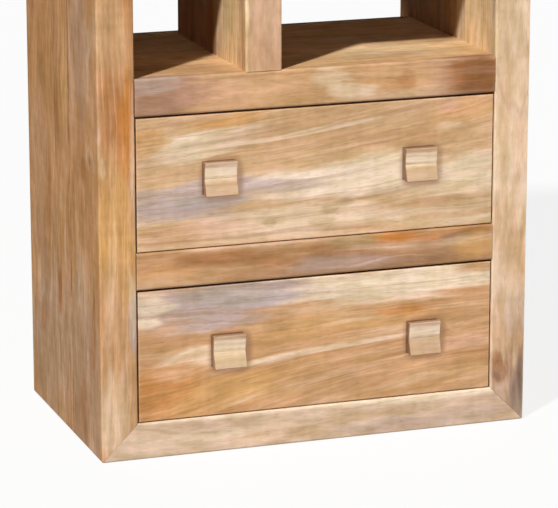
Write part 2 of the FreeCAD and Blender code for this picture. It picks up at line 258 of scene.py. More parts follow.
# Noise in the grain: cells to the metre along and across it, detail and roughness. Wander and quick push
# the rings about, the ripple runs across the grain, and mottle, blotch and cloud are patches.
GRAIN_NOISE = {
    "wander": (1.4, 5.0, 2.0, 0.5),
    "quick": (9.0, 26.0, 2.0, 0.5),
    "fibre": (26.0, 900.0, 2.0, 0.6),
    "pore": (95.0, 1900.0, 0.0, 0.5),
    "ripple": (85.0, 14.0, 1.0, 0.5),
    "mottle": (14.0, 34.0, 3.0, 0.6),
    "blotch": (26.0, 110.0, 2.0, 0.6),
    "cloud": (8.0, 27.0, 3.0, 0.6),
}
# noise in the rings: cells to the metre outwards and along the grain, a shift of its own and detail
RING_NOISE = {
    "pale": (26.0, 2.6, 0.0, 2.0),
    "warm": (34.0, 3.2, 9.0, 2.0),
    "grey": (20.0, 2.2, 21.0, 2.0),
    "growth": (84.0, 3.4, 33.0, 3.0),
    "hairline": (320.0, 6.0, 41.0, 2.0),
}
# how far the noises push the rings out of round, in metres
RING_WANDER = 0.055
RING_QUICK = 0.011

# Layers of colour over the base, in order: tone, share, noise, the values at which the noise starts to
# show and is full, the input that shifts the noise, and what scales the layer.
LAYERS = (
    (CREAM, 0.60, "pale", (0.50, 0.78), "Pale", None),
    (ORANGE, 0.55, "warm", (0.52, 0.80), "Warm", None),
    (LILAC, 0.60, "grey", (0.54, 0.80), "Grey", None),
    (RING, 0.40, "growth", (0.48, 0.70), None, "patchy figure"),
    (CREAM, 0.34, "growth", (0.46, 0.28), None, "patchy figure"),
    (RING, 0.24, "hairline", (0.50, 0.72), None, None),
    (CREAM, 0.18, "hairline", (0.46, 0.28), None, "figure"),
    (UMBER, 0.75, "mottle", (0.60, 0.86), "Dark", None),
)
INPUT_SHIFT = 0.30                # how far an input of 1 shifts its noise
# The rings come and go along the board: the cloud at which they are faintest and full, and how much is
# left of them where they are faintest.
FIGURE_RANGE = (0.36, 0.60)
FIGURE_LEAST = 0.35
DRIFT_RANGE = (0.78, 1.22)        # the sum of blotch and cloud at which the hue is golden and ashen
# how far the noises lighten and darken the wood; the input Blotch scales the patches
PATCH_SHADES = {"mottle": 0.28, "blotch": 0.50, "cloud": 0.52}
FINE_SHADES = {"fibre": 0.20, "ripple": 0.18}
PORE_RANGE = (0.68, 0.78)         # the noise at which a pore starts to show and is open
PORE_SHARE = 0.28
ROUGHNESS_MIDDLE = 0.52
# how much the noises add to the roughness
FIBRE_ROUGHNESS = 0.18
PORE_ROUGHNESS = 0.20
MOTTLE_ROUGHNESS = 0.16
# how much they raise the surface, in parts of the bump's distance
HEIGHTS = {"fibre": 0.5, "growth": 0.6, "open pore": -0.9, "ripple": 0.5, "quick": 1.2}


def timber_group():
    """Timber at a place given as (along the grain, across, into the board), in metres."""
    tree = bpy.data.node_groups.new("timber", "ShaderNodeTree")
    for in_out, sockets in (("INPUT", TIMBER_INPUTS), ("OUTPUT", TIMBER_OUTPUTS)):
        for name, kind in sockets.items():
            tree.interface.new_socket(name=name, in_out=in_out, socket_type="NodeSocket" + kind)
    g = Graph(tree)
    inputs = tree.nodes.new("NodeGroupInput").outputs
    outputs = tree.nodes.new("NodeGroupOutput").inputs

    offset = g.joined(*(g.calc("MULTIPLY", inputs["Seed"], step) for step in SEED_STEP))
    place = g.vector("ADD", inputs["Place"], offset)
    noise = {}
    for name, (along_rate, across_rate, detail, roughness) in GRAIN_NOISE.items():
        cells = g.vector("MULTIPLY", place, (along_rate, across_rate, across_rate))
        noise[name] = g.noise(cells, detail, roughness)

    # distance from the pith, wandering slowly and quickly, and bent round the knots
    across_the_grain = g.vector("MULTIPLY", inputs["Place"], (0.0, 1.0, 1.0))
    radius = g.total([
        g.vector("LENGTH", g.vector("SUBTRACT", across_the_grain, inputs["Pith"])),
        g.centred(noise["wander"], RING_WANDER),
        g.centred(noise["quick"], RING_QUICK),
        inputs["Bend"],
    ])
    along = g.parts(place)[0]
    for name, (outward_rate, along_rate, shift, detail) in RING_NOISE.items():
        cells = g.joined(
            g.calc("MULTIPLY", along, along_rate),
            g.calc("MULTIPLY", radius, outward_rate),
            g.calc("ADD", inputs["Seed"], shift),
        )
        noise[name] = g.noise(cells, detail)

    ring_patches = g.ease(noise["cloud"], *FIGURE_RANGE, FIGURE_LEAST, 1.0)
    scales = {
        "figure": inputs["Figure"],
        "patchy figure": g.calc("MULTIPLY", inputs["Figure"], ring_patches),
    }
    colour = inputs["Base"]
    for towards, share, name, (start, full), shift, scale in LAYERS:
        field = noise[name]
        if shift:
            field = g.calc("MULTIPLY_ADD", inputs[shift], INPUT_SHIFT, field)
        field = g.ease(field, start, full)
        if scale:
            field = g.calc("MULTIPLY", field, scales[scale])
        colour = g.tint(colour, towards, field, share)
    golden_to_ashen = g.ease(g.calc("ADD", noise["blotch"], noise["cloud"]), *DRIFT_RANGE)
    drift = g.mix(golden_to_ashen, TOWARDS_GOLD, TOWARDS_ASH)
    colour = g.mix(1.0, colour, drift, "MULTIPLY")

    # light and shade of the fibres, the cross ripple and the mottling
    def swings(shades):
        return [g.centred(noise[name], factor) for name, factor in shades.items()]

    patches = g.calc("MULTIPLY", g.total(swings(PATCH_SHADES)), inputs["Blotch"])
    colour = g.scaled(colour, g.total([1.0, *swings(FINE_SHADES), patches]))
    noise["open pore"] = g.ease(noise["pore"], *PORE_RANGE)
    colour = g.tint(colour, UMBER, noise["open pore"], PORE_SHARE)

    roughness = g.total([
        ROUGHNESS_MIDDLE,
        g.centred(noise["fibre"], FIBRE_ROUGHNESS),
        g.calc("MULTIPLY", noise["open pore"], PORE_ROUGHNESS),
        g.centred(noise["mottle"], MOTTLE_ROUGHNESS),
    ])
    height = g.total([g.calc("MULTIPLY", noise[name], factor) for name, factor in HEIGHTS.items()])
    g.feed(outputs["Colour"], colour)
    g.feed(outputs["Roughness"], roughness)
    g.feed(outputs["Height"], height)
    return tree


TIMBER = timber_group()

# the order in which a board's grain frame takes the row frame's axes: along, across, into the board
GRAIN_ORDER = {"X": (0, 2, 1), "Y": (1, 0, 2), "Z": (2, 0, 1)}


class Board:
    """What one board's timber looks like. Places and reaches are in millimetres."""

    def __init__(self, grain="X", base=TAN, seed=1.0, pith=(0.0, -70.0), pale=0.0, warm=-0.1,
                 grey=-0.3, dark=-0.4, figure=1.0, blotch=1.0, slope=0.0, fan=0.0, wear=0.2,
                 marks=(), knots=(), seams=(), feet=(), painted_side_shade=0.0):
        self.grain = grain
        self.base = base
        self.seed = seed
        self.pith = pith          # across and into the board, from the middle of its front face
        self.amounts = {"Pale": pale, "Warm": warm, "Grey": grey, "Dark": dark}
        self.figure = figure
        self.blotch = blotch
        self.slope = slope        # rise of the grain across the board, per length
        self.fan = fan            # how much more it rises per metre across
        self.wear = wear
        self.marks = marks        # (tone, centre, reach along X, Y and Z, share)
        self.knots = knots        # (centre, reach along X, Y and Z, share)
        self.seams = seams        # (normal, offset in metres, half width, share)
        self.feet = feet          # nodes of the knobs that stand on the board
        self.painted_side_shade = painted_side_shade            # how much painted shade darkens the faces that don't look to the front


class GrainFrame:
    """Turns the row frame's places into a board's own: along the grain, across, into the board."""

    def __init__(self, board, low, high):
        self.axes = GRAIN_ORDER[board.grain]
        self.slope = board.slope
        self.fan = board.fan
        self.origin = Vector(((low.x + high.x) / 2, low.y, (low.z + high.z) / 2))

    def point(self, millimetres):
        here = Vector(millimetres) * MM - self.origin
        along, across, depth = (here[axis] for axis in self.axes)
        return along, across - along * (self.slope + self.fan * across), depth

    def reach(self, millimetres):
        return tuple(millimetres[axis] * MM for axis in self.axes)

    def node(self, g, here):
        values = g.parts(g.vector("SUBTRACT", here, tuple(self.origin)))
        along, across, depth = (values[axis] for axis in self.axes)
        if self.slope or self.fan:
            rise = g.calc("MULTIPLY_ADD", across, self.fan, self.slope)
            across = g.calc("SUBTRACT", across, g.calc("MULTIPLY", along, rise))
        return g.joined(along, across, depth)


def median(g, a, b, c):
    lower = g.calc("MINIMUM", a, b)
    upper = g.calc("MAXIMUM", a, b)
    return g.calc("MAXIMUM", lower, g.calc("MINIMUM", upper, c))


# ---- painted shade round a knob's foot ----
FOOT_SHADE_RUN = Vector((4.5, 0.0, -3.5)) * MM     # how far the painted shade is shifted to the right and down
FOOT_SHADE_DEPTH = 0.02             # metres, so that only the board's face takes it
# where it ends and where it is full: the squared distance from the middle, in half widths of the knob
FOOT_SHADE_RANGE = (2.3, 1.2)
FOOT_SHADE_SHARE = 0.62


def paint_knob_foot_shade(g, colour, here, knob):
    """Painted shade round the foot of a knob: a soft squarish dark ring on the board's face."""
    low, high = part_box(knob)
    middle = Vector(((low.x + high.x) / 2, FRONT_Y, (low.z + high.z) / 2)) + FOOT_SHADE_RUN
    half = (high - low) / 2
    from_middle = g.vector("SUBTRACT", here, tuple(middle))
    step = g.vector("MULTIPLY", from_middle, (1 / half.x, 1 / FOOT_SHADE_DEPTH, 1 / half.z))
    reach = g.vector("LENGTH", g.vector("MULTIPLY", step, step))
    return g.mix(g.ease(reach, *FOOT_SHADE_RANGE, 0.0, FOOT_SHADE_SHARE), colour, KNOB_PAINTED_SHADE)


# ---- marks and knots: distances from a spot's middle are in its own reaches ----
STREAK_RATES = (11.0, 70.0, 70.0)     # cells to the metre, along the grain, across and into the board
STREAK_DETAIL = 3.0
FEATHER = 1.7                # how far the streaks move a spot's border
WARP_ALONG = 0.03            # how far they move the spot itself, in metres
WARP_ACROSS = 0.012
SPOT_END = 1.25              # where a spot has faded out
MARK_FULL = 0.55             # where a mark, a knot's core and its halo are full
CORE_FULL = 0.35
HALO_FULL = 0.2
HALO_SIZE = 2.6              # times the core
KNOT_BEND = 0.014            # how far a knot pushes the rings aside, in metres
KNOT_DARK = 1.5              # what a knot with a share of 1 adds to the board's Dark and Warm
KNOT_WARM = 0.6


def place_marks(g, board, grain, place):
    """The base colour with its marks, the bend of the rings round the knots, and the amounts there."""
    cells = g.vector("ADD", g.vector("MULTIPLY", place, STREAK_RATES), (board.seed,) * 3)
    streaks = g.noise(cells, STREAK_DETAIL)
    feather = g.centred(streaks, FEATHER)
    warp = g.joined(g.centred(streaks, WARP_ALONG), g.centred(streaks, WARP_ACROSS), 0.0)
    warped = g.vector("ADD", place, warp)

    def spot(centre, reach, full):
        """1 in the middle of a soft ellipsoid with streaky borders, 0 outside it."""
        step = g.vector("SUBTRACT", warped, grain.point(centre))
        distance = g.vector("LENGTH", g.vector("DIVIDE", step, grain.reach(reach)))
        return g.ease(g.calc("ADD", distance, feather), SPOT_END, full)

    base = board.base
    for mark_tone, centre, reach, share in board.marks:
        base = g.tint(base, mark_tone, spot(centre, reach, MARK_FULL), share)
    bend = 0.0
    amounts = dict(board.amounts)
    for centre, reach, share in board.knots:
        core = spot(centre, reach, CORE_FULL)
        halo = spot(centre, tuple(HALO_SIZE * length for length in reach), HALO_FULL)
        bend = g.calc("MULTIPLY_ADD", halo, KNOT_BEND, bend)
        amounts["Dark"] = g.calc("MULTIPLY_ADD", core, KNOT_DARK * share, amounts["Dark"])
        amounts["Warm"] = g.calc("MULTIPLY_ADD", halo, KNOT_WARM * share, amounts["Warm"])
    return base, bend, amounts


# ---- the finish of a board ----
# how squarely a face looks along the grain where end grain starts and where it is full
END_GRAIN_RANGE = (0.6, 0.95)
END_GRAIN_SHARE = 0.35
# how squarely a knob's face looks to the front where the painted shade on its sides starts and where it
# is full
PAINTED_SIDE_SHADE_RANGE = (0.97, 0.70)
# the noise that makes the rubbing uneven: cells to the metre, detail and roughness
RUB_RATES = (38.0, 38.0, 38.0)
RUB_DETAIL = 3.0
RUB_GRIT = 0.65
RUB_SPREAD = 0.007           # how much the width of the rubbed edge varies, in metres
WORN_END = 4.2 * MM          # from the arris
WORN_FULL = 0.6 * MM
WORN_ROUGHNESS = 0.08        # added where the edge is worn
SEAM_CORE = 0.2              # how much of the half width of a joint's line is full
SEAM_RUB_RANGE = (0.35, 0.65)         # the rub at which the line is faint and full
SEAM_FAINT = 0.3             # how much is left of it where it is faint
SEAM_HEIGHT = -1.4           # a groove, in the same parts as HEIGHTS
WOOD_BUMP = (0.35, 0.0008)   # strength, and distance in metres
WOOD_CONSTANTS = {"Specular IOR Level": 0.0}     # no gloss


def board_material(name, low, high, board):
    """The timber of one board whose box runs from low to high."""
    material = bpy.data.materials.new(name)
    g = emptied(material)
    coordinates = g.node("TexCoord")
    here = coordinates.outputs["Object"]
    grain = GrainFrame(board, low, high)
    place = grain.node(g, here)

    base, bend, amounts = place_marks(g, board, grain, place)
    pith_across, pith_depth = board.pith
    values = {
        "Place": place,
        "Pith": (0.0, pith_across * MM, pith_depth * MM),
        "Seed": board.seed,
        "Bend": bend,
        "Base": base,
        "Figure": board.figure,
        "Blotch": board.blotch,
        **amounts,
    }
    timber = g.node("Group")
    timber.node_tree = TIMBER
    for socket_name, value in values.items():
        g.feed(timber.inputs[socket_name], value)
    colour = timber.outputs["Colour"]
    height = timber.outputs["Height"]

    # end grain drinks more finish and is darker; a knob's sides, which don't look to the front, get
    # painted shade
    facing = g.parts(coordinates.outputs["Normal"])
    along_grain = g.calc("ABSOLUTE", facing["XYZ".index(board.grain)])
    colour = g.tint(colour, UMBER, g.ease(along_grain, *END_GRAIN_RANGE), END_GRAIN_SHARE)
    if board.painted_side_shade:
        to_front = g.calc("ABSOLUTE", facing["XYZ".index("Y")])
        colour = g.mix(g.ease(to_front, *PAINTED_SIDE_SHADE_RANGE, 0.0, board.painted_side_shade), colour, KNOB_PAINTED_SHADE)

    # Arrises rubbed pale, unevenly along their length. On a face, one of the three distances to the
    # box is 0, and the middle one is the distance to the next arris.
    from_low = g.vector("SUBTRACT", here, tuple(low))
    to_high = g.vector("SUBTRACT", tuple(high), here)
    to_arris = median(g, *g.parts(g.vector("MINIMUM", from_low, to_high)))
    rub = g.noise(g.vector("MULTIPLY", here, RUB_RATES), RUB_DETAIL, RUB_GRIT)
    worn = g.ease(g.calc("ADD", to_arris, g.centred(rub, RUB_SPREAD)), WORN_END, WORN_FULL)
    colour = g.tint(colour, CREAM, worn, board.wear)

    # glue lines and closed joints
    for normal, offset, half_width, share in board.seams:
        side = g.calc("SUBTRACT", g.vector("DOT_PRODUCT", here, normal), offset)
        line = g.ease(g.calc("ABSOLUTE", side), half_width * MM, SEAM_CORE * half_width * MM)
        strength = g.ease(rub, *SEAM_RUB_RANGE, SEAM_FAINT * share, share)
        line = g.calc("MULTIPLY", line, strength)
        colour = g.mix(line, colour, UMBER)
        height = g.calc("MULTIPLY_ADD", line, SEAM_HEIGHT, height)
    # painted shade round the foot of each knob that stands on the board
    for knob in board.feet:
        colour = paint_knob_foot_shade(g, colour, here, knob)

    roughness = g.calc("MULTIPLY_ADD", worn, WORN_ROUGHNESS, timber.outputs["Roughness"])
    finish_material(g, colour, roughness, height, WOOD_BUMP, WOOD_CONSTANTS)
    return material


# ---- steel ----
ZINC = tone(178, 176, 168)
DULL_ZINC = tone(146, 142, 130)
# the noise of the turning marks and of the dull patches: cells to the metre, detail and roughness
TURNING_RATES = (2600.0, 2600.0, 2600.0)
TURNING_DETAIL = 1.0
DULL_RATES = (240.0, 240.0, 240.0)
DULL_DETAIL = 3.0
DULL_GRIT = 0.6
DULL_TONE_RANGE = (0.4, 0.65)         # the noise at which the zinc is clean and dull
DULL_ROUGHNESS_RANGE = (0.3, 0.7)
STEEL_ROUGHNESS = (0.30, 0.46)        # clean and dull
STEEL_BUMP = (0.3, 0.0001)   # strength, and distance in metres
STEEL_CONSTANTS = {"Metallic": 1.0}


def steel_material():
    """Zinc-plated screws: fine turning marks and dull patches."""
    material = bpy.data.materials.new("screw_steel")
    g = emptied(material)
    here = g.node("TexCoord").outputs["Object"]
    turning = g.noise(g.vector("MULTIPLY", here, TURNING_RATES), TURNING_DETAIL)
    patches = g.noise(g.vector("MULTIPLY", here, DULL_RATES), DULL_DETAIL, DULL_GRIT)
    colour = g.mix(g.ease(patches, *DULL_TONE_RANGE), ZINC, DULL_ZINC)
    roughness = g.ease(patches, *DULL_ROUGHNESS_RANGE, *STEEL_ROUGHNESS)
    finish_material(g, colour, roughness, turning, STEEL_BUMP, STEEL_CONSTANTS)
    return material


# ---- marks and knots, in millimetres from the case's middle and the floor, and seams ----
COVER_TOP = 510              # the height of the cover shelf's upper face


def front(mark_tone, x, z, reach_x, reach_z, share, reach_y=16.0):
    """A mark on the front."""
    return mark_tone, (x, FRONT_Y / MM, z), (reach_x, reach_y, reach_z), share


def left(mark_tone, y, z, reach_y, reach_z, share, reach_x=16.0):
    """A mark on the outer face of the left side."""
    return mark_tone, (-HALF_WIDTH / MM, y, z), (reach_x, reach_y, reach_z), share


def right(mark_tone, y, z, reach_y, reach_z, share, reach_x=8.0):
    """A mark on the outer face of the right side."""
    return mark_tone, (HALF_WIDTH / MM, y, z), (reach_x, reach_y, reach_z), share


def inner(mark_tone, x, y, z, reach_y, reach_z, share, reach_x=8.0):
    """A mark on an upright face inside the case, at the place x across the case."""
    return mark_tone, (x, y, z), (reach_x, reach_y, reach_z), share


def cover_top(mark_tone, x, y, reach_x, reach_y, share, reach_z=10.0):
    """A mark on the cover shelf's upper face."""
    return mark_tone, (x, y, COVER_TOP), (reach_x, reach_y, reach_z), share


def front_knot(x, z, reach_x, reach_z, share, reach_y=30.0):
    return (x, FRONT_Y / MM, z), (reach_x, reach_y, reach_z), share


def left_knot(y, z, reach_y, reach_z, share, reach_x=20.0):
    return (-HALF_WIDTH / MM, y, z), (reach_x, reach_y, reach_z), share


def middle_z(node):
    """The height of a node's middle, in millimetres."""
    low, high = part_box(node)
    return (low.z + high.z) / 2 / MM


DIAGONAL = math.sqrt(0.5)
# half width of a joint's line in millimetres, and how dark it is
MITRE_LINE = (0.9, 0.5)
STAVE_LINE = (2.6, 0.75)
BUTT_LINE = (0.7, 0.35)


def mitre_seam(side, upper):
    """The plane where a side board meets the top or the bottom board, through the outer corner."""
    rise = 1.0 if upper else -1.0
    corner_z = CASE_TOP if upper else 0.0
    normal = (side * DIAGONAL, 0.0, -rise * DIAGONAL)
    return normal, DIAGONAL * (HALF_WIDTH - rise * corner_z), *MITRE_LINE


def side_seams(side):
    """The mitres of the left side (-1) or the right side (1), and the joint between its staves."""
    stave = ((0.0, 1.0, 0.0), STAVE_Y, *STAVE_LINE)
    return [mitre_seam(side, False), mitre_seam(side, True), stave]


def level_seams(upper):
    return [mitre_seam(-1, upper), mitre_seam(1, upper)]


BOTH_ENDS = [((1.0, 0.0, 0.0), end, *BUTT_LINE) for end in (INNER_X, -INNER_X)]


# ---- the boards ----
def side_boards():
    return {
        "left_side_front_stave": Board(
            grain="Z", base=SIDE_BROWN, seed=2.3, pith=(210.0, 70.0), pale=-0.3, warm=-0.1, wear=0.0,
            blotch=1.3,
            marks=[
                front(TAN, -280, 600, 30, 90, 0.8),
                front(DEEP_HONEY, -278, 470, 40, 55, 0.85),
                front(ORANGE, -262, 440, 14, 85, 0.7),
                front(ORANGE, -258, 620, 7, 60, 0.4),
                front(GOLD, -276, 310, 34, 100, 0.7),
                front(BROWN_TAN, -278, 190, 34, 90, 0.5),
                front(BEIGE, -282, 70, 30, 70, 0.7),
                front(CREAM, -290, 46, 12, 50, 0.4),
                front(LILAC, -254, 185, 8, 44, 0.8),
                front(CREAM, -256, 225, 5, 50, 0.4),
                front(BROWN_TAN, -257, 94, 10, 44, 0.9),
                front(CREAM, -294, 395, 5, 14, 0.35),
                front(CREAM, -252, 400, 4, 110, 0.35),
                left(LILAC, -90, 540, 40, 120, 0.35),
                left(SIDE_GREY, -90, 90, 110, 150, 0.8),
                left(RUST, -142, 165, 12, 60, 0.7),
                left(RUST, -140, 400, 12, 18, 0.5),
                left(RUST, -104, 378, 12, 18, 0.5),
                left(RUST, -96, 60, 14, 50, 0.4),
                left(GOLD, -120, 1250, 20, 260, 0.5),
                left(RUST, -90, 900, 14, 120, 0.4),
                left(SIDE_GREY, -60, 1500, 60, 200, 0.5),
            ],
            knots=[left_knot(-137, 402, 8, 10, 0.5), left_knot(-96, 1120, 10, 14, 0.7)],
            seams=side_seams(-1),
        ),
        "left_side_rear_stave": Board(
            grain="Z", base=SIDE_BROWN, seed=5.1, pith=(230.0, 120.0), pale=-0.4, warm=-0.2, blotch=1.3,
            marks=[
                left(GOLD, -14, 474, 14, 70, 0.5),
                left(RUST, 29, 430, 12, 60, 0.4),
                left(RUST, 74, 310, 16, 60, 0.4),
                left(OLIVE, 37, 258, 16, 50, 0.4),
                left(SIDE_GREY, 60, 110, 130, 140, 0.8),
                left(SIDE_GREY, 120, 330, 40, 110, 0.4),
                left(RUST, 20, 188, 14, 34, 0.8),
                left(RUST, 109, 128, 12, 24, 0.5),
                left(GOLD, 60, 800, 24, 240, 0.5),
                left(SIDE_GREY, 100, 1350, 50, 220, 0.5),
                left(RUST, 10, 1600, 16, 110, 0.4),
            ],
            knots=[left_knot(70, 960, 10, 14, 0.6)],
            seams=side_seams(-1),
        ),
        "right_side_front_stave": Board(
            grain="Z", base=tone(227, 196, 163), seed=7.7, pith=(0.0, 190.0), pale=-0.1, warm=-0.5,
            blotch=1.2,
            marks=[
                front(TAN, 272, 1450, 24, 200, 0.6),
                front(HONEY, 284, 1000, 16, 180, 0.4),
                front(TAN, 266, 720, 16, 100, 0.5),
                front(TAN, 264, 420, 8, 90, 0.35),
                front(ROSE, 286, 350, 10, 80, 0.4),
                front(BROWN_TAN, 276, 196, 34, 124, 1.0),
                front(ROSE, 262, 130, 12, 50, 0.4),
                front(LILAC, 282, 150, 16, 40, 0.4),
                front(DUSK, 276, 62, 34, 60, 0.7),
                front(RUST, 267, 74, 16, 22, 0.5),
                front(PLUM, 292, 40, 16, 54, 0.8),
                right(TAN, -88, 900, 84, 1300, 0.85),
                right(GOLD, -60, 1200, 26, 300, 0.5),
                right(GOLD, -120, 420, 20, 260, 0.4),
                right(RUST, -120, 760, 12, 120, 0.4),
                right(CREAM, -90, 1500, 20, 200, 0.4),
                front(PLUM, 262, 66, 8, 9, 0.5),
                front(RUST, 258, 92, 10, 12, 0.5),
                # painted light: the inner face is painted pale towards the front, for light that the
                # lamps don't give there
                inner(SAPWOOD_AND_PAINTED_LIGHT, INNER_X / MM, -110, 600, 56, 240, 0.95),
            ],
            knots=[front_knot(268, 75, 7, 9, 0.7)],
            seams=side_seams(1),
        ),
        "right_side_rear_stave": Board(
            grain="Z", base=tone(213, 172, 132), seed=9.2, pith=(0.0, 260.0), pale=0.1, warm=-0.2,
            grey=-0.2, blotch=1.2, seams=side_seams(1),
        ),
    }


def level_boards():
    boards = {
        "bottom_board": Board(
            grain="X", base=tone(210, 180, 152), seed=11.4, pith=(-30.0, 120.0), pale=-0.1, warm=-0.7,
            blotch=1.4, figure=0.7,
            marks=[
                # pale along the upper front arris: partly the wood's colour, partly a painted highlight
                # where the arris catches the light
                front(CREAM, 150, 49, 170, 9, 0.9),
                front(CREAM, -110, 49, 160, 5, 0.6),
                front(CREAM, -150, 24, 60, 9, 0.4),
                front(BROWN_TAN, -60, 14, 80, 10, 0.35),
                front(BROWN_TAN, 60, 30, 60, 9, 0.30),
                front(LILAC, 90, 12, 60, 9, 0.5),
                front(LILAC, 200, 14, 70, 12, 0.4),
            ],
            seams=level_seams(False),
        ),
        "top_board": Board(
            grain="X", base=TAN, seed=13.9, pith=(-60.0, 160.0), pale=0.3, warm=0.1, grey=0.1,
            blotch=1.2, wear=0.08,
            marks=[
                front(CREAM, -120, 1770, 130, 12, 0.6),
                front(HONEY, 130, 1782, 110, 12, 0.5),
                front(BROWN_TAN, 60, 1760, 90, 10, 0.5),
            ],
            knots=[front_knot(-40, 1780, 8, 6, 0.5)],
            seams=level_seams(True),
        ),
        "cover_shelf": Board(
            grain="X", base=tone(222, 180, 132), seed=15.2, pith=(-90.0, 120.0), pale=-0.3, wear=0.05,
            blotch=1.3, figure=0.22,
            marks=[
                cover_top(SAPWOOD_AND_PAINTED_LIGHT, 110, -82, 190, 26, 0.6),
                cover_top(CREAM, 150, -66, 110, 6, 0.6),
                cover_top(BROWN_TAN, -180, -130, 74, 50, 0.7),
                front(BROWN_TAN, 0, 480, 420, 60, 0.75),
                front(DUSK, -220, 486, 62, 34, 0.9),
                front(LILAC, -226, 500, 34, 12, 0.6),
                front(ROSE, -150, 482, 50, 24, 0.3),
                front(CREAM, 20, 496, 30, 16, 0.45),
                front(CREAM, 44, 480, 30, 18, 0.55),
                front(ROSE, 170, 480, 30, 18, 0.3),
                front(DUSK, 224, 486, 66, 46, 0.7),
                front(RUST, 232, 482, 56, 44, 0.95),
                front(UMBER, 238, 482, 44, 40, 0.42),
                front(RUST, 124, 486, 16, 12, 0.5),
            ],
            seams=BOTH_ENDS,
        ),
        "drawer_rail": Board(
            grain="X", base=tone(188, 144, 104), seed=37.3, pith=(-40.0, 90.0), pale=-0.4, wear=0.05,
            blotch=1.3,
            marks=[
                front(HONEY, -215, 250, 50, 16, 0.6),
                front(RUST, -140, 266, 60, 10, 0.7),
                front(RUST, -63, 256, 36, 11, 0.5),
                front(DUSK, 60, 244, 150, 14, 0.6),
                front(LILAC, 40, 244, 100, 11, 0.55),
                front(RUST, 110, 266, 160, 14, 0.6),
                front(OLIVE, 56, 272, 40, 9, 0.8),
                front(ORANGE, 118, 271, 40, 9, 0.75),
                front(ORANGE, 164, 270, 20, 7, 0.55),
                front(UMBER, 192, 270, 20, 6, 0.5),
                front(OLIVE, 216, 262, 40, 10, 0.5),
                front(GOLD, 226, 250, 34, 16, 0.5),
            ],
            seams=BOTH_ENDS,
        ),
    }
    for number, (base, knot_x) in enumerate(((TAN, 150), (SHELF_PALE, -190), (TAN, 40)), start=1):
        name = "open_shelf_%d" % number
        boards[name] = Board(
            grain="X", base=base, seed=17.0 + 2.7 * number, pith=(-80.0 - 20 * number, 110.0),
            pale=0.3, warm=0.2, grey=0.3 - 0.2 * number, blotch=1.2, wear=0.08,
            marks=[
                front(BROWN_TAN, -knot_x, middle_z(name) + 10, 90, 12, 0.6),
                front(CREAM, knot_x + 60, middle_z(name) - 12, 110, 10, 0.6),
            ],
            knots=[front_knot(knot_x, middle_z(name) + 4, 8, 6, 0.6)], seams=BOTH_ENDS,
        )
    for number, base in enumerate((DIVIDER_TAN, BEIGE, TAN, DIVIDER_TAN), start=1):
        boards["divider_%d" % number] = Board(
            grain="Z", base=base, seed=27.0 + 1.9 * number, pith=(20.0, 140.0),
            pale=0.1, warm=0.1 * number, grey=-0.1, blotch=1.2, wear=0.08,
        )
    # the first divider is plainer and paler, most of all towards its front: painted light on its left
    # face, for light that the lamps don't give there
    first = boards["divider_1"]
    first_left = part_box("divider_1")[0].x / MM
    first.figure = 0.4
    first.amounts["Grey"] = -0.8
    first.marks = [inner(SAPWOOD_AND_PAINTED_LIGHT, first_left, -112, 600, 62, 260, 1.0)]
    return boards


def drawer_fronts():
    return {
        "upper_drawer_front": Board(
            grain="X", base=tone(216, 176, 136), seed=41.6, pith=(-190.0, 60.0), pale=-0.3, warm=-0.4,
            slope=0.068, fan=0.77, wear=0.06, blotch=1.2,
            marks=[
                front(CREAM, -170, 420, 80, 26, 0.9),
                front(HONEY, -122, 449, 66, 12, 0.9),
                front(HONEY, -232, 424, 32, 24, 0.7),
                front(BROWN_TAN, -6, 438, 150, 24, 0.35),
                front(BROWN_TAN, 160, 420, 130, 20, 0.5),
                front(HONEY, 210, 440, 60, 16, 0.6),
                front(CREAM, 191, 424, 26, 9, 0.4),
                front(ROSE, 187, 446, 18, 6, 0.8),
                front(CREAM, -10, 425, 130, 4, 0.6),
                front(CREAM, 34, 360, 160, 30, 1.0),
                front(CREAM, 200, 352, 64, 26, 0.9),
                front(LILAC, -178, 346, 110, 32, 1.0),
                front(SLATE, -160, 342, 44, 12, 0.6),
                front(LILAC, -40, 352, 46, 7, 0.6),
                front(SAND, 172, 308, 110, 26, 0.85),
                front(BROWN_TAN, 160, 318, 80, 7, 0.6),
                front(BROWN_TAN, 190, 298, 70, 6, 0.5),
                front(CREAM, -30, 308, 150, 22, 0.55),
                front(ROSE, -180, 302, 80, 16, 0.45),
                front(BROWN_TAN, -206, 286, 30, 9, 0.5),
                front(OLIVE, -66, 306, 12, 7, 0.40),
                front(OLIVE, 2, 303, 18, 7, 0.45),
                front(OLIVE, 18, 318, 14, 7, 0.40),
                front(OLIVE, 36, 327, 14, 6, 0.40),
            ],
            feet=("upper_drawer_left_knob", "upper_drawer_right_knob"),
        ),
        "lower_drawer_front": Board(
            grain="X", base=tone(203, 157, 113), seed=47.9, pith=(-150.0, 70.0), pale=-0.4, warm=-0.2,
            slope=0.08, fan=-1.3, wear=0.06, blotch=1.3,
            marks=[
                front(CREAM, 100, 210, 230, 28, 1.0),
                front(LILAC, -148, 206, 124, 30, 1.0),
                front(SLATE, -100, 204, 60, 12, 0.5),
                front(CREAM, -230, 214, 30, 16, 0.6),
                front(CREAM, -236, 186, 26, 6, 0.9),
                front(CREAM, -178, 130, 52, 18, 0.8),
                front(ORANGE, -214, 92, 66, 30, 0.6),
                front(GOLD, -130, 84, 90, 22, 0.5),
                front(GOLD, 21, 160, 130, 14, 0.4),
                front(CREAM, 19, 128, 160, 4, 0.6),
                front(ORANGE, 118, 170, 44, 9, 0.55),
                front(BROWN_TAN, 60, 95, 120, 16, 0.4),
                front(BROWN_TAN, 190, 96, 80, 12, 0.5),
                front(ROSE, 214, 120, 40, 18, 0.6),
            ],
            knots=[front_knot(199, 137, 7, 5, 0.4)],
            feet=("lower_drawer_left_knob", "lower_drawer_right_knob"),
        ),
    }


